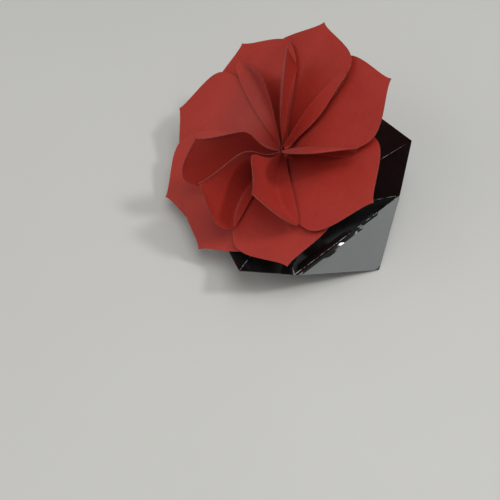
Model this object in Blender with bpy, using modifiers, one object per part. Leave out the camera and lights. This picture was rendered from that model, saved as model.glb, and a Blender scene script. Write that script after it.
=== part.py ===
"""Paper flower on a folded card holder.

Eight outer and seven inner petals of red card are glued by their roots to a small disc, each one
overlapping the next like a pinwheel. A spacer carries the disc in a bowl folded from one hexagonal
sheet of black gloss card, which stands on its centre facet and on three corners turned down as feet.
Metres, +Z up. The floor is z = 0 and the origin is the middle of the centre facet.
"""
from functools import partial
from math import atan2, cos, exp, hypot, pi, radians, sin

import bmesh
import bpy
from mathutils import Matrix, Vector

MM = 0.001

# Card and clearances
CARD = 0.35 * MM
GLUE_GAP = 0.35 * MM

# Flower: where the disc sits, and how the whole flower leans
FLOWER_CENTRE = Vector((4, 19, 36)) * MM
LEAN = radians(33)
LEAN_AZIMUTH = radians(202)
PITCH = radians(45)

# Outer petals: azimuth and length from the flower's axis, clockwise from the back one
OUTER_AZIMUTHS = (57, 10, -43, -86, -133, -168, 146, 101)
OUTER_LENGTHS = (77, 78, 80, 79, 77, 78, 77, 74)
OUTER_HALF_WIDTH = 31 * MM
ROOT_RADIUS = 2.2 * MM

# Inner petals: azimuth, length, half width, then elevation, roll, upward bend and curl in degrees.
# Roll lowers the anticlockwise edge: 0 lies level across, 90 stands on edge. Curl bends across.
INNER_PETALS = (
    (58, 61, 16, 38, 69, -20, 31),
    (23, 62, 21, -25, 106, -39, 7),
    (-25, 66, 21, 23, 80, -14, 43),
    (-87, 68, 25, 47, 72, 82, -28),
    (-128, 70, 26, 53, 87, 63, -47),
    (-160, 67, 24, 68, 88, 74, -20),
    (103, 61, 22, 18, 67, 36, 16),
)
INNER_ROOT_HEIGHT = 6.5 * MM
INNER_CLEARANCE = 2.2 * MM
INNER_STEP_SHARE = 0.7
SETTLE = 1.0 * MM

# Shape shared by every petal
ROOT_WIDTH = 0.10
SHOULDER = 0.64
LOBE_POWER = 1.1
OGEE_POWER = 1.6
OGEE_FALL = 2.6
BOWL_DEPTH = 21 * MM
BOWL_REACH = 24 * MM
BOWL_START = 6 * MM
BOWL_FLOOR = 2.4 * MM
STEP_AT_ROOT = 1.3 * MM
STEP_AT_TIP = 4.5 * MM
FLOWER_RADIUS = 78 * MM
STEPS_ALONG = 13
TIP_CROWDING = 1.6
STEPS_ACROSS = 7

# Disc and spacer
DISC_RADIUS = 12 * MM
DISC_THICKNESS = 0.7 * MM
DISC_SIDES = 32
SPACER_RADIUS = 10 * MM
SPACER_FOOT = Vector((1, 4, 0)) * MM
SPACER_SIDES = 24

# Holder: centre facet, then the rim as (azimuth, distance from the centre, height)
FACET_RADIUS = 17 * MM
RIM = (
    (16, 83, 44),     # right corner, standing
    (-4, 73, 26),     # crease end
    (-35, 74, 0),     # front right corner, turned down as a foot
    (-84, 61, 27),    # crease end
    (-112, 66, 33),   # front corner, standing
    (-130, 50, 19),   # crease end
    (-160, 52, 0),    # left corner, turned down as a foot
    (170, 52, 13),    # crease end
    (143, 58, 15),    # back left corner
    (115, 62, 16),    # crease end
    (80, 64, 0),      # back corner, turned down as a foot
    (40, 80, 36),     # crease end
)
FEET = (2, 6, 10)

RED = (0.30, 0.035, 0.028, 1.0)
DARK_RED = (0.20, 0.02, 0.018, 1.0)
BLACK = (0.012, 0.012, 0.013, 1.0)
BOARD = (0.42, 0.36, 0.27, 1.0)


def clear_scene():
    for item in list(bpy.data.objects):
        bpy.data.objects.remove(item, do_unlink=True)


def make_collection(name):
    collection = bpy.data.collections.new(name)
    bpy.context.scene.collection.children.link(collection)
    return collection


def make_material(name, colour, roughness):
    material = bpy.data.materials.new(name)
    material.use_nodes = True
    shader = material.node_tree.nodes["Principled BSDF"]
    shader.inputs["Base Color"].default_value = colour
    shader.inputs["Roughness"].default_value = roughness
    shader.inputs["Metallic"].default_value = 0.0
    return material


def add_object(name, mesh, material, collection, parent=None):
    item = bpy.data.objects.new(name, mesh)
    item.data.materials.append(material)
    collection.objects.link(item)
    item.parent = parent
    return item


def add_thickness(item, thickness, offset):
    solidify = item.modifiers.new("card", "SOLIDIFY")
    solidify.thickness = thickness
    solidify.offset = offset
    solidify.use_even_offset = True


def petal_width(s):
    """Half width at s along the petal, as a share of the widest: a lobe, then an ogee to a point."""
    if s < SHOULDER:
        return ROOT_WIDTH + (1 - ROOT_WIDTH) * sin(pi / 2 * s / SHOULDER) ** LOBE_POWER
    y = ((s - SHOULDER) / (1 - SHOULDER)) ** OGEE_POWER
    return 1 - OGEE_FALL * y ** 2 + (OGEE_FALL - 1) * y ** 3


def bowl_height(radius):
    """The flower's own bowl: steep at the centre, flat by the tips."""
    return BOWL_FLOOR + BOWL_DEPTH * (1 - exp(-max(radius - BOWL_START, 0) / BOWL_REACH))


def pinwheel_step(radius):
    """How much higher a petal lies than its clockwise neighbour."""
    return STEP_AT_ROOT + (STEP_AT_TIP - STEP_AT_ROOT) * min(radius / FLOWER_RADIUS, 1)


def outer_point(s, t, length):
    x = ROOT_RADIUS + (length - ROOT_RADIUS) * s
    y = OUTER_HALF_WIDTH * petal_width(s) * t
    radius = hypot(x, y)
    z = bowl_height(radius) - pinwheel_step(radius) * atan2(y, x) / PITCH
    return Vector((x, y, z))


def arc(length, turn):
    """Chord of an arc of this length that turns by this angle."""
    half = turn / 2
    return length if abs(half) < 1e-6 else length * sin(half) / half


def settle(height, ground):
    """Keep a height above the ground below it, easing in where the two meet."""
    over = height - ground
    return ground + (over + hypot(over, 2 * SETTLE)) / 2


def inner_point(s, t, length, widest, elevation, roll, bend, curl):
    """A point of a petal that rises from its root, rolled about its length and bent along it."""
    slope = elevation + bend * (s - 0.5)
    rise = elevation + bend * (s - 1) / 2
    along = arc(length * s, bend * s)
    turn = curl * t
    across = arc(widest * petal_width(s) * t, turn)
    drop = across * sin(roll + turn / 2)
    x = ROOT_RADIUS + along * cos(rise) + drop * sin(slope)
    y = across * cos(roll + turn / 2)
    z = INNER_ROOT_HEIGHT + along * sin(rise) - drop * cos(slope)
    radius = hypot(x, y)
    ground = bowl_height(radius) + INNER_STEP_SHARE * pinwheel_step(radius) + INNER_CLEARANCE
    return Vector((x, y, settle(z, ground)))


def petal_mesh(name, point):
    """A grid from root to tip whose last row closes to the petal's point."""
    bm = bmesh.new()
    rows = []
    for i in range(STEPS_ALONG):
        s = 1 - (1 - i / STEPS_ALONG) ** TIP_CROWDING
        row = [bm.verts.new(point(s, 2 * j / STEPS_ACROSS - 1)) for j in range(STEPS_ACROSS + 1)]
        rows.append(row)
    tip = bm.verts.new(point(1.0, 0.0))
    for low, high in zip(rows, rows[1:]):
        for j in range(STEPS_ACROSS):
            bm.faces.new((low[j], high[j], high[j + 1], low[j + 1]))
    for j in range(STEPS_ACROSS):
        bm.faces.new((rows[-1][j], tip, rows[-1][j + 1]))
    mesh = bpy.data.meshes.new(name)
    bm.to_mesh(mesh)
    bm.free()
    mesh.shade_smooth()
    return mesh


def add_petal(name, azimuth, point, material, collection, parent):
    item = add_object(name, petal_mesh(name, point), material, collection, parent)
    item.rotation_euler = (0, 0, radians(azimuth) - LEAN_AZIMUTH)
    add_thickness(item, CARD, 0)
    return item


def add_disc(material, collection, parent):
    bm = bmesh.new()
    bmesh.ops.create_cone(bm, cap_ends=True, segments=DISC_SIDES, radius1=DISC_RADIUS,
                          radius2=DISC_RADIUS, depth=DISC_THICKNESS)
    mesh = bpy.data.meshes.new("backing_disc")
    bm.to_mesh(mesh)
    bm.free()
    return add_object("backing_disc", mesh, material, collection, parent)


def flower_frame():
    """Turns the flower's own axes (its axis is +Z, +X is the way it leans) to the world's."""
    turn = Matrix.Rotation(LEAN_AZIMUTH, 4, "Z")
    lean = Matrix.Rotation(LEAN, 4, "Y")
    return Matrix.Translation(FLOWER_CENTRE) @ turn @ lean


def add_spacer(material, collection):
    """A card plug from the holder's facet to the leaning disc."""
    frame = flower_frame()
    top_height = -DISC_THICKNESS / 2 - GLUE_GAP
    bottom_height = CARD + GLUE_GAP
    bm = bmesh.new()
    bottom = []
    top = []
    for i in range(SPACER_SIDES):
        angle = 2 * pi * i / SPACER_SIDES
        ring = Vector((cos(angle), sin(angle), 0)) * SPACER_RADIUS
        bottom.append(bm.verts.new(SPACER_FOOT + ring + Vector((0, 0, bottom_height))))
        own = Matrix.Rotation(-LEAN_AZIMUTH, 3, "Z") @ ring
        top.append(bm.verts.new(frame @ (own + Vector((0, 0, top_height)))))
    bm.faces.new(reversed(bottom))
    bm.faces.new(top)
    for i in range(SPACER_SIDES):
        j = (i + 1) % SPACER_SIDES
        bm.faces.new((bottom[i], bottom[j], top[j], top[i]))
    mesh = bpy.data.meshes.new("spacer")
    bm.to_mesh(mesh)
    bm.free()
    return add_object("spacer", mesh, material, collection)


def rim_point(azimuth, distance, height):
    angle = radians(azimuth)
    return Vector((distance * cos(angle), distance * sin(angle), height)) * MM


def add_holder(material, collection):
    """One sheet: a flat facet, creased walls up to the rim, and three corners turned down."""
    bm = bmesh.new()
    rim = [bm.verts.new(rim_point(*entry)) for entry in RIM]
    walls = [i for i in range(len(RIM)) if i not in FEET]
    facet = []
    for i in walls:
        angle = radians(RIM[i][0])
        facet.append(bm.verts.new((FACET_RADIUS * cos(angle), FACET_RADIUS * sin(angle), 0)))
    bm.faces.new(reversed(facet))
    count = len(walls)
    for k in range(count):
        m = (k + 1) % count
        bm.faces.new((facet[k], facet[m], rim[walls[m]], rim[walls[k]]))
    for i in FEET:
        bm.faces.new((rim[i - 1], rim[i + 1], rim[i]))
    bmesh.ops.recalc_face_normals(bm, faces=bm.faces)
    if sum(face.normal.z * face.calc_area() for face in bm.faces) < 0:
        bmesh.ops.reverse_faces(bm, faces=bm.faces)
    bmesh.ops.triangulate(bm, faces=[face for face in bm.faces if len(face.verts) == 4])
    mesh = bpy.data.meshes.new("holder")
    bm.to_mesh(mesh)
    bm.free()
    item = add_object("holder", mesh, material, collection)
    add_thickness(item, CARD, 1)
    return item


def main():
    clear_scene()
    collection = make_collection("paper_flower")
    red = make_material("red card", RED, 0.55)
    dark_red = make_material("dark red card", DARK_RED, 0.6)
    black = make_material("black gloss card", BLACK, 0.12)
    board = make_material("grey board", BOARD, 0.8)

    add_holder(black, collection)
    add_spacer(board, collection)

    flower = bpy.data.objects.new("flower_axis", None)
    collection.objects.link(flower)
    flower.matrix_world = flower_frame()
    add_disc(dark_red, collection, flower)
    for number, (azimuth, length) in enumerate(zip(OUTER_AZIMUTHS, OUTER_LENGTHS), start=1):
        add_petal(f"outer_petal_{number}", azimuth, partial(outer_point, length=length * MM),
                  red, collection, flower)
    for number, (azimuth, length, widest, *angles) in enumerate(INNER_PETALS, start=1):
        elevation, roll, bend, curl = map(radians, angles)
        shape = partial(inner_point, length=length * MM, widest=widest * MM, elevation=elevation,
                        roll=roll, bend=bend, curl=curl)
        add_petal(f"inner_petal_{number}", azimuth, shape, red, collection, flower)
    bpy.context.view_layer.update()


main()
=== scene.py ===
"""Looks of the paper flower: satin red card petals and a gloss black folded card, on a pale table."""
from functools import partial
from math import atan2, cos, exp, hypot, pi, radians, sin

import bmesh
import bpy
from mathutils import Matrix, Vector, noise
from mathutils.kdtree import KDTree


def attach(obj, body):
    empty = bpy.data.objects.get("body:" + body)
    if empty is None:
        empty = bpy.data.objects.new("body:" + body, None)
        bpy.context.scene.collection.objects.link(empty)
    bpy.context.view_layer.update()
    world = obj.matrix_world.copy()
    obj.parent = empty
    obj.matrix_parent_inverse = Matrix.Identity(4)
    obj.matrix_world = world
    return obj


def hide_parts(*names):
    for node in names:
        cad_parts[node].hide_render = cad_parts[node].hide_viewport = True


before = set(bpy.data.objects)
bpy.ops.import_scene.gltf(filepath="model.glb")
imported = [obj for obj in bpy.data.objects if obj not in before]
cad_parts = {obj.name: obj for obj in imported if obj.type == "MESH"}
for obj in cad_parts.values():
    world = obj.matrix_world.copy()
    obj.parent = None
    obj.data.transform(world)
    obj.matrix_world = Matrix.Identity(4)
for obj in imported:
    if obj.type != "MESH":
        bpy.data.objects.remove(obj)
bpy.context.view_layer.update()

MM = 0.001
CARD = 0.35 * MM

# The flower's own axis and the shape of its petals, as in the CAD model
FLOWER_CENTRE = Vector((4, 19, 36)) * MM
LEAN = radians(33)
LEAN_AZIMUTH = radians(202)
PITCH = radians(45)
OUTER_AZIMUTHS = (57, 10, -43, -86, -133, -168, 146, 101)
OUTER_LENGTHS = (77, 78, 80, 79, 77, 78, 77, 74)
OUTER_HALF_WIDTH = 31 * MM
ROOT_RADIUS = 2.2 * MM
INNER_PETALS = (
    (58, 61, 16, 38, 69, -20, 31),
    (23, 62, 21, -25, 106, -39, 7),
    (-25, 66, 21, 23, 80, -14, 43),
    (-87, 68, 25, 47, 72, 82, -28),
    (-128, 70, 26, 53, 87, 63, -47),
    (-160, 67, 24, 68, 88, 74, -20),
    (103, 61, 22, 18, 67, 36, 16),
)
INNER_ROOT_HEIGHT = 6.5 * MM
INNER_CLEARANCE = 2.2 * MM
INNER_STEP_SHARE = 0.7
SETTLE = 1.0 * MM
ROOT_WIDTH = 0.10
SHOULDER = 0.64
LOBE_POWER = 1.1
OGEE_POWER = 1.6
OGEE_FALL = 2.6
BOWL_DEPTH = 21 * MM
BOWL_REACH = 24 * MM
BOWL_START = 6 * MM
BOWL_FLOOR = 2.4 * MM
STEP_AT_ROOT = 1.3 * MM
STEP_AT_TIP = 4.5 * MM
FLOWER_RADIUS = 78 * MM

# Fineness of the visible meshes
STEPS_ALONG = 56
STEPS_ACROSS = 30
TIP_CROWDING = 1.6
SHEET_CUTS = 22

# The holder's sheet, as in the CAD model: (azimuth, distance from the centre, height)
FACET_RADIUS = 17 * MM
RIM = (
    (16, 83, 44),
    (-4, 73, 26),
    (-35, 74, 0),
    (-84, 61, 27),
    (-112, 66, 33),
    (-130, 50, 19),
    (-160, 52, 0),
    (170, 52, 13),
    (143, 58, 15),
    (115, 62, 16),
    (80, 64, 0),
    (40, 80, 36),
)
FEET = (2, 6, 10)
SHARP_ANGLE = radians(8)

# The front foot's fold is rounded from its first rim point towards its second
SOFT_CREASE = (3, 1)
SOFT_WIDTH = 7 * MM
SOFT_SHARE = 0.75
SOFT_PASSES = 14

# Buckling of the sheet: height, fineness, the width held flat along a crease, and the flat facet
SWELL = 0.32 * MM
SWELL_SCALE = 38
SWELL_PLACE = Vector((3.1, 1.7, 0.4))
SWELL_FREE_MM = 9
FACET_HEIGHT = 0.6 * MM

# Table top: half its side, and how far it lies below the holder
TABLE_REACH = 1.5
TABLE_GAP = 0.2 * MM

# Camera: what it looks at, how high it stands, how far away it is, and how wide it sees
AIM = Vector((-18.6, -28.4, 0)) * MM
ELEVATION = radians(60)
DISTANCE = 430 * MM
FIELD_OF_VIEW = radians(40)


# ---------------------------------------------------------------- node helpers

class Nodes:
    """A short way to lay out one material's nodes."""

    def __init__(self, name):
        self.material = bpy.data.materials.new(name)
        self.material.use_nodes = True
        self.tree = self.material.node_tree
        self.shader = self.tree.nodes["Principled BSDF"]
        self.place = self.tree.nodes.new("ShaderNodeTexCoord").outputs["Object"]

    def link(self, source, target):
        self.tree.links.new(source, target)

    def noise(self, scale, detail=3.0, roughness=0.5, stretch=None):
        node = self.tree.nodes.new("ShaderNodeTexNoise")
        node.inputs["Scale"].default_value = scale
        node.inputs["Detail"].default_value = detail
        node.inputs["Roughness"].default_value = roughness
        place = self.place
        if stretch:
            mapping = self.tree.nodes.new("ShaderNodeMapping")
            mapping.inputs["Scale"].default_value = stretch
            self.link(place, mapping.inputs["Vector"])
            place = mapping.outputs["Vector"]
        self.link(place, node.inputs["Vector"])
        return node.outputs["Fac"]

    def attribute(self, name):
        node = self.tree.nodes.new("ShaderNodeAttribute")
        node.attribute_name = name
        return node.outputs["Fac"]

    def remap(self, value, low, high, to_low=0.0, to_high=1.0):
        node = self.tree.nodes.new("ShaderNodeMapRange")
        self.link(value, node.inputs["Value"])
        node.inputs["From Min"].default_value = low
        node.inputs["From Max"].default_value = high
        node.inputs["To Min"].default_value = to_low
        node.inputs["To Max"].default_value = to_high
        return node.outputs["Result"]

    def math(self, operation, first, second):
        node = self.tree.nodes.new("ShaderNodeMath")
        node.operation = operation
        for socket, value in zip(node.inputs, (first, second)):
            if isinstance(value, (int, float)):
                socket.default_value = value
            else:
                self.link(value, socket)
        return node.outputs["Value"]

    def mix(self, factor, first, second):
        node = self.tree.nodes.new("ShaderNodeMix")
        node.data_type = "RGBA"
        for socket, value in ((node.inputs[0], factor), (node.inputs[6], first), (node.inputs[7], second)):
            if isinstance(value, (int, float, tuple)):
                socket.default_value = value
            else:
                self.link(value, socket)
        return node.outputs[2]

    def bump(self, height, strength, distance, base=None):
        node = self.tree.nodes.new("ShaderNodeBump")
        node.inputs["Strength"].default_value = strength
        node.inputs["Distance"].default_value = distance
        self.link(height, node.inputs["Height"])
        if base is not None:
            self.link(base, node.inputs["Normal"])
        return node.outputs["Normal"]

    def finish(self, colour, roughness, normal):
        self.link(colour, self.shader.inputs["Base Color"])
        self.link(roughness, self.shader.inputs["Roughness"])
        self.link(normal, self.shader.inputs["Normal"])
        return self.material


# ---------------------------------------------------------------- materials

def petal_material():
    """Dyed card: fibre mottling, a fine tooth, faint rubbed edges and a satin sheen."""
    n = Nodes("red satin card")
    clouds = n.remap(n.noise(38, 4, 0.55), 0.3, 0.7)
    fibres = n.remap(n.noise(900, 5, 0.65, (1, 0.35, 1)), 0.35, 0.65)
    base = n.mix(clouds, (0.365, 0.024, 0.016, 1), (0.420, 0.033, 0.022, 1))
    tinted = n.mix(n.math("MULTIPLY", fibres, 0.22), base, (0.47, 0.060, 0.042, 1))
    speck = n.remap(n.noise(2600, 2, 0.5), 0.70, 0.78)
    flecked = n.mix(n.math("MULTIPLY", speck, 0.25), tinted, (0.53, 0.14, 0.11, 1))
    edge = n.remap(n.attribute("edge_mm"), 0.9, 0.0)
    rubbed = n.math("MULTIPLY", edge, n.remap(n.noise(520, 4, 0.7), 0.45, 0.75, 0.0, 0.4))
    worn = n.mix(rubbed, flecked, (0.50, 0.13, 0.10, 1))
    roughness = n.remap(n.noise(210, 4, 0.6), 0.3, 0.7, 0.40, 0.50)
    tooth = n.bump(n.noise(2400, 4, 0.7), 0.22, 0.00012)
    n.shader.inputs["Specular IOR Level"].default_value = 0.32
    n.shader.inputs["Sheen Weight"].default_value = 0.03
    n.shader.inputs["Sheen Roughness"].default_value = 0.45
    return n.finish(worn, roughness, n.bump(clouds, 0.25, 0.0006, tooth))


def cut_edge_material():
    """The cut through dyed card: a greyer, fibrous core with scattered pale specks."""
    n = Nodes("cut edge of red card")
    core = n.mix(n.remap(n.noise(700, 4, 0.6), 0.35, 0.65), (0.15, 0.022, 0.018, 1),
                 (0.27, 0.065, 0.052, 1))
    # Scattered pale specks along the cut edge, which also make it rougher there
    pale_specks = n.remap(n.noise(310, 5, 0.75), 0.66, 0.72)
    colour = n.mix(n.math("MULTIPLY", pale_specks, 0.85), core, (0.78, 0.70, 0.66, 1))
    roughness = n.remap(pale_specks, 0, 1, 0.75, 0.9)
    return n.finish(colour, roughness, n.bump(n.noise(3000, 4, 0.7), 0.5, 0.0001))


def gloss_card_material():
    """Black coated card: a faint ripple in the gloss, dust, and a white core where a crease cracked."""
    n = Nodes("black gloss card")
    near = n.remap(n.attribute("crease_mm"), 0.22, 0.08)
    broken = n.remap(n.noise(240, 5, 0.72), 0.47, 0.56)
    crack = n.math("MULTIPLY", near, broken)
    rim = n.remap(n.attribute("edge_mm"), 0.3, 0.1)
    chipped = n.math("MULTIPLY", rim, n.remap(n.noise(330, 5, 0.75), 0.62, 0.70))
    white = n.math("MAXIMUM", n.math("MULTIPLY", crack, 0.6), n.math("MULTIPLY", chipped, 0.3))
    black = n.mix(n.remap(n.noise(90, 4, 0.6), 0.3, 0.7), (0.0035, 0.0038, 0.0042, 1),
                  (0.0065, 0.007, 0.0075, 1))
    dust = n.remap(n.noise(1900, 2, 0.5), 0.74, 0.80)
    dusty = n.mix(n.math("MULTIPLY", dust, 0.12), black, (0.35, 0.35, 0.35, 1))
    colour = n.mix(white, dusty, (0.62, 0.61, 0.58, 1))
    smudge = n.remap(n.noise(55, 5, 0.6), 0.35, 0.7, 0.07, 0.17)
    roughness = n.math("MAXIMUM", smudge, n.math("MULTIPLY", white, 0.8))
    ripple = n.bump(n.noise(160, 3, 0.5), 0.04, 0.0006)
    fine = n.bump(n.noise(1500, 3, 0.6), 0.05, 0.0001, ripple)
    n.shader.inputs["Specular IOR Level"].default_value = 0.5
    return n.finish(colour, roughness, n.bump(crack, 0.4, 0.0002, fine))


def card_core_material():
    """The cut edge of the black card: its board core, drawn as a mottled near-black to dark grey."""
    n = Nodes("cut edge of black card")
    core = n.mix(n.remap(n.noise(420, 4, 0.6), 0.4, 0.6), (0.015, 0.015, 0.015, 1), (0.07, 0.068, 0.066, 1))
    return n.finish(core, n.remap(n.noise(300, 3, 0.5), 0.3, 0.7, 0.6, 0.8),
                    n.bump(n.noise(2500, 3, 0.6), 0.4, 0.0001))


def board_material():
    """Grey board plug: visible fibres and layers."""
    n = Nodes("grey board")
    layers = n.remap(n.noise(120, 4, 0.6, (0.2, 0.2, 9)), 0.35, 0.65)
    colour = n.mix(layers, (0.30, 0.26, 0.20, 1), (0.46, 0.41, 0.33, 1))
    return n.finish(colour, n.remap(n.noise(200, 3, 0.5), 0.3, 0.7, 0.75, 0.9),
                    n.bump(n.noise(1200, 4, 0.7), 0.5, 0.0002))


def table_material():
    """Pale, faintly mottled table top."""
    n = Nodes("pale table")
    clouds = n.remap(n.noise(4, 3, 0.5), 0.3, 0.7)
    colour = n.mix(clouds, (0.640, 0.642, 0.622, 1), (0.662, 0.664, 0.644, 1))
    return n.finish(colour, n.remap(n.noise(60, 3, 0.5), 0.3, 0.7, 0.62, 0.70),
                    n.bump(n.noise(700, 3, 0.5), 0.04, 0.0001))


# ---------------------------------------------------------------- petals

def petal_width(s):
    """Half width at s along the petal, as a share of the widest: a lobe, then an ogee to a point."""
    if s < SHOULDER:
        return ROOT_WIDTH + (1 - ROOT_WIDTH) * sin(pi / 2 * s / SHOULDER) ** LOBE_POWER
    y = ((s - SHOULDER) / (1 - SHOULDER)) ** OGEE_POWER
    return 1 - OGEE_FALL * y ** 2 + (OGEE_FALL - 1) * y ** 3


def bowl_height(radius):
    """The flower's own bowl: steep at the centre, flat by the tips."""
    return BOWL_FLOOR + BOWL_DEPTH * (1 - exp(-max(radius - BOWL_START, 0) / BOWL_REACH))


def pinwheel_step(radius):
    """How much higher a petal lies than its clockwise neighbour."""
    return STEP_AT_ROOT + (STEP_AT_TIP - STEP_AT_ROOT) * min(radius / FLOWER_RADIUS, 1)


def outer_point(s, t, length):
    x = ROOT_RADIUS + (length - ROOT_RADIUS) * s
    y = OUTER_HALF_WIDTH * petal_width(s) * t
    radius = hypot(x, y)
    z = bowl_height(radius) - pinwheel_step(radius) * atan2(y, x) / PITCH
    return Vector((x, y, z))


def arc(length, turn):
    """Chord of an arc of this length that turns by this angle."""
    half = turn / 2
    return length if abs(half) < 1e-6 else length * sin(half) / half


def settle(height, ground):
    """Keep a height above the ground below it, easing in where the two meet."""
    over = height - ground
    return ground + (over + hypot(over, 2 * SETTLE)) / 2


def inner_point(s, t, length, widest, elevation, roll, bend, curl):
    """A point of a petal that rises from its root, rolled about its length and bent along it."""
    slope = elevation + bend * (s - 0.5)
    rise = elevation + bend * (s - 1) / 2
    along = arc(length * s, bend * s)
    turn = curl * t
    across = arc(widest * petal_width(s) * t, turn)
    drop = across * sin(roll + turn / 2)
    x = ROOT_RADIUS + along * cos(rise) + drop * sin(slope)
    y = across * cos(roll + turn / 2)
    z = INNER_ROOT_HEIGHT + along * sin(rise) - drop * cos(slope)
    radius = hypot(x, y)
    ground = bowl_height(radius) + INNER_STEP_SHARE * pinwheel_step(radius) + INNER_CLEARANCE
    return Vector((x, y, settle(z, ground)))


def flower_frame():
    """Turns the flower's own axes to the world's."""
    turn = Matrix.Rotation(LEAN_AZIMUTH, 4, "Z")
    lean = Matrix.Rotation(LEAN, 4, "Y")
    return Matrix.Translation(FLOWER_CENTRE) @ turn @ lean


def outline_distances(bm):
    """Distance in millimetres from each vertex to the nearest point of the mesh's open outline."""
    layer = bm.verts.layers.float.new("edge_mm")
    rim = [edge for edge in bm.edges if edge.is_boundary]
    points = [(edge.verts[0].co + edge.verts[1].co) / 2 for edge in rim]
    points += [vert.co.copy() for vert in bm.verts if vert.is_boundary]
    tree = KDTree(len(points))
    for index, point in enumerate(points):
        tree.insert(point, index)
    tree.balance()
    for vert in bm.verts:
        vert[layer] = 0.0 if vert.is_boundary else tree.find(vert.co)[2] / MM


def petal_mesh(name, point):
    bm = bmesh.new()
    rows = []
    for i in range(STEPS_ALONG):
        s = 1 - (1 - i / STEPS_ALONG) ** TIP_CROWDING
        rows.append([bm.verts.new(point(s, 2 * j / STEPS_ACROSS - 1)) for j in range(STEPS_ACROSS + 1)])
    tip = bm.verts.new(point(1.0, 0.0))
    for low, high in zip(rows, rows[1:]):
        for j in range(STEPS_ACROSS):
            bm.faces.new((low[j], high[j], high[j + 1], low[j + 1]))
    for j in range(STEPS_ACROSS):
        bm.faces.new((rows[-1][j], tip, rows[-1][j + 1]))
    outline_distances(bm)
    mesh = bpy.data.meshes.new(name)
    bm.to_mesh(mesh)
    bm.free()
    mesh.shade_smooth()
    return mesh


def sharpen_outline(mesh):
    """Mark the cut edge sharp, so that the sheet's shading doesn't round over it."""
    bm = bmesh.new()
    bm.from_mesh(mesh)
    for edge in bm.edges:
        if edge.is_boundary:
            edge.smooth = False
    bm.to_mesh(mesh)
    bm.free()


def add_card(name, mesh, materials, offset, node):
    """A sheet with its thickness; the cut edge takes the second material."""
    sharpen_outline(mesh)
    item = bpy.data.objects.new(name, mesh)
    bpy.context.scene.collection.objects.link(item)
    for material in materials:
        mesh.materials.append(material)
    solidify = item.modifiers.new("card", "SOLIDIFY")
    solidify.thickness = CARD
    solidify.offset = offset
    solidify.use_even_offset = True
    solidify.material_offset_rim = 1
    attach(item, "root")
    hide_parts(node)
    return item


def add_petals():
    materials = (petal_material(), cut_edge_material())
    frame_matrix = flower_frame()
    shapes = []
    for number, (azimuth, length) in enumerate(zip(OUTER_AZIMUTHS, OUTER_LENGTHS), start=1):
        shapes.append((f"outer_petal_{number}", azimuth, partial(outer_point, length=length * MM)))
    for number, (azimuth, length, widest, *angles) in enumerate(INNER_PETALS, start=1):
        elevation, roll, bend, curl = map(radians, angles)
        shape = partial(inner_point, length=length * MM, widest=widest * MM, elevation=elevation,
                        roll=roll, bend=bend, curl=curl)
        shapes.append((f"inner_petal_{number}", azimuth, shape))
    for node, azimuth, shape in shapes:
        mesh = petal_mesh(f"{node}_card", shape)
        mesh.transform(frame_matrix @ Matrix.Rotation(radians(azimuth) - LEAN_AZIMUTH, 4, "Z"))
        add_card(f"{node}_card", mesh, materials, 0, node)


# ---------------------------------------------------------------- holder

def rim_point(azimuth, distance, height):
    angle = radians(azimuth)
    return Vector((distance * cos(angle), distance * sin(angle), height)) * MM


def segment_distance(point, first, second):
    line = second - first
    share = max(0.0, min(1.0, (point - first).dot(line) / line.length_squared))
    return (point - first - line * share).length


def soften_front_crease(bm, start, end):
    """Round the fold of the front foot, most at its start and not at all at its end."""
    reach = (end - start).length
    line = (end - start) / reach
    near = []
    for vert in bm.verts:
        share = (vert.co - start).dot(line) / reach
        if vert.is_boundary or not 0 < share < SOFT_SHARE:
            continue
        width = SOFT_WIDTH * (1 - share / SOFT_SHARE)
        if segment_distance(vert.co, start, end) < width:
            near.append(vert)
    for _ in range(SOFT_PASSES):
        bmesh.ops.smooth_vert(bm, verts=near, factor=0.5, use_axis_x=True, use_axis_y=True,
                              use_axis_z=True)


def folded_sheet(bm):
    """Build the folded sheet's facets, and return the ends of its creases and of its cut edges."""
    rim = [bm.verts.new(rim_point(*entry)) for entry in RIM]
    walls = [i for i in range(len(RIM)) if i not in FEET]
    facet = []
    for i in walls:
        angle = radians(RIM[i][0])
        facet.append(bm.verts.new((FACET_RADIUS * cos(angle), FACET_RADIUS * sin(angle), 0)))
    bm.faces.new(reversed(facet))
    creases = []
    edges = []
    count = len(walls)
    for k in range(count):
        m = (k + 1) % count
        bm.faces.new((facet[k], facet[m], rim[walls[m]], rim[walls[k]]))
        creases.append((facet[k].co.copy(), facet[m].co.copy()))
        creases.append((facet[k].co.copy(), rim[walls[k]].co.copy()))
    for i in FEET:
        bm.faces.new((rim[i - 1], rim[i + 1], rim[i]))
        creases.append((rim[i - 1].co.copy(), rim[i + 1].co.copy()))
    for i in range(len(RIM)):
        edges.append((rim[i - 1].co.copy(), rim[i].co.copy()))
    bmesh.ops.recalc_face_normals(bm, faces=bm.faces)
    if sum(face.normal.z * face.calc_area() for face in bm.faces) < 0:
        bmesh.ops.reverse_faces(bm, faces=bm.faces)
    return creases, edges


def measure_lines(bm, layer_name, lines):
    """Distance in millimetres from each vertex to the nearest of these lines."""
    layer = bm.verts.layers.float.new(layer_name)
    for vert in bm.verts:
        vert[layer] = min(segment_distance(vert.co, *ends) for ends in lines) / MM


def buckle(bm):
    """Swell the walls a little between their creases; the centre facet stays flat on the table."""
    crease_layer = bm.verts.layers.float["crease_mm"]
    for vert in bm.verts:
        if vert.co.z < FACET_HEIGHT:
            continue
        free = min(vert[crease_layer] / SWELL_FREE_MM, 1)
        swell = noise.noise(vert.co * SWELL_SCALE + SWELL_PLACE)
        vert.co += vert.normal * (swell * SWELL * free * free * (3 - 2 * free))


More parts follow.
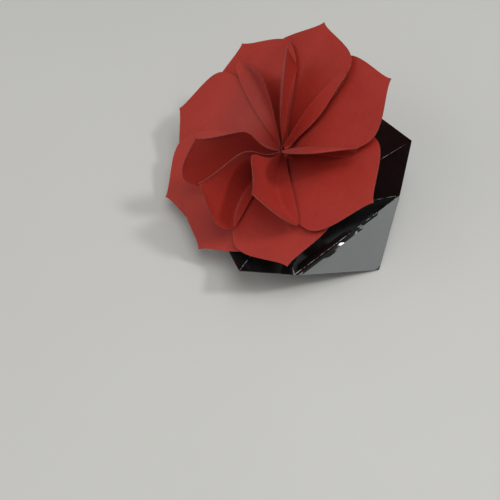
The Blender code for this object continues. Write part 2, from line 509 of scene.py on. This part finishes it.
def holder_mesh():
    """The folded sheet, cut fine enough to take a little buckling between its creases."""
    bm = bmesh.new()
    creases, edges = folded_sheet(bm)
    bmesh.ops.triangulate(bm, faces=bm.faces)
    bmesh.ops.subdivide_edges(bm, edges=bm.edges, cuts=SHEET_CUTS, use_grid_fill=True)
    bm.normal_update()
    measure_lines(bm, "crease_mm", creases)
    measure_lines(bm, "edge_mm", edges)
    buckle(bm)
    soften_front_crease(bm, *[rim_point(*RIM[i]) for i in SOFT_CREASE])
    mesh = bpy.data.meshes.new("holder_card")
    bm.to_mesh(mesh)
    bm.free()
    mesh.shade_smooth()
    return mesh


def add_holder():
    mesh = holder_mesh()
    mesh.set_sharp_from_angle(angle=SHARP_ANGLE)
    return add_card("holder_card", mesh, (gloss_card_material(), card_core_material()), 1, "holder")


def finish_cad_nodes():
    """The disc and the spacer keep their CAD shape and get card and board finishes."""
    finishes = {"backing_disc": bpy.data.materials["red satin card"], "spacer": board_material()}
    for node, material in finishes.items():
        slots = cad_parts[node].data.materials
        slots.clear()
        slots.append(material)


# ---------------------------------------------------------------- surroundings

def add_table():
    bm = bmesh.new()
    bmesh.ops.create_grid(bm, x_segments=2, y_segments=2, size=TABLE_REACH)
    mesh = bpy.data.meshes.new("table_top")
    bm.to_mesh(mesh)
    bm.free()
    table = bpy.data.objects.new("table_top", mesh)
    table.location.z = -TABLE_GAP
    bpy.context.scene.collection.objects.link(table)
    mesh.materials.append(table_material())


def add_light(name, place, size, power, colour=(1, 1, 1)):
    data = bpy.data.lights.new(name, "AREA")
    data.shape = "RECTANGLE"
    data.size, data.size_y = size
    data.energy = power
    data.color = colour
    lamp = bpy.data.objects.new(name, data)
    lamp.location = place
    lamp.rotation_euler = (-Vector(place)).to_track_quat("-Z", "Y").to_euler()
    bpy.context.scene.collection.objects.link(lamp)
    return lamp


def add_lights(holder):
    add_light("ceiling_right", (0.78, -0.16, 1.22), (0.18, 0.18), 5.0, (1.0, 0.99, 0.96))
    add_light("left_wall", (-1.10, -0.45, 1.10), (1.3, 0.9), 4.6, (1.0, 0.95, 0.88))
    add_light("overhead", (0.15, -0.20, 1.55), (0.9, 0.9), 8.6, (1.0, 0.99, 0.97))
    gloss = add_light("gloss_card_fill", (1.15, -0.66, 0.26), (1.3, 1.1), 15.5, (0.98, 1.0, 1.0))
    only_holder = bpy.data.collections.new("lit by the fill")
    only_holder.objects.link(holder)
    gloss.light_linking.receiver_collection = only_holder
    world = bpy.data.worlds.new("room")
    world.use_nodes = True
    background = world.node_tree.nodes["Background"]
    background.inputs["Color"].default_value = (0.96, 0.98, 1.0, 1)
    background.inputs["Strength"].default_value = 0.23
    bpy.context.scene.world = world


def add_camera():
    data = bpy.data.cameras.new("camera")
    data.angle = FIELD_OF_VIEW
    camera = bpy.data.objects.new("camera", data)
    camera.location = AIM + Vector((0, -cos(ELEVATION), sin(ELEVATION))) * DISTANCE
    camera.rotation_euler = (pi / 2 - ELEVATION, 0, 0)
    bpy.context.scene.collection.objects.link(camera)
    bpy.context.scene.camera = camera


bpy.context.scene.view_settings.view_transform = "Standard"
add_camera()
add_petals()
holder = add_holder()
finish_cad_nodes()
add_table()
add_lights(holder)
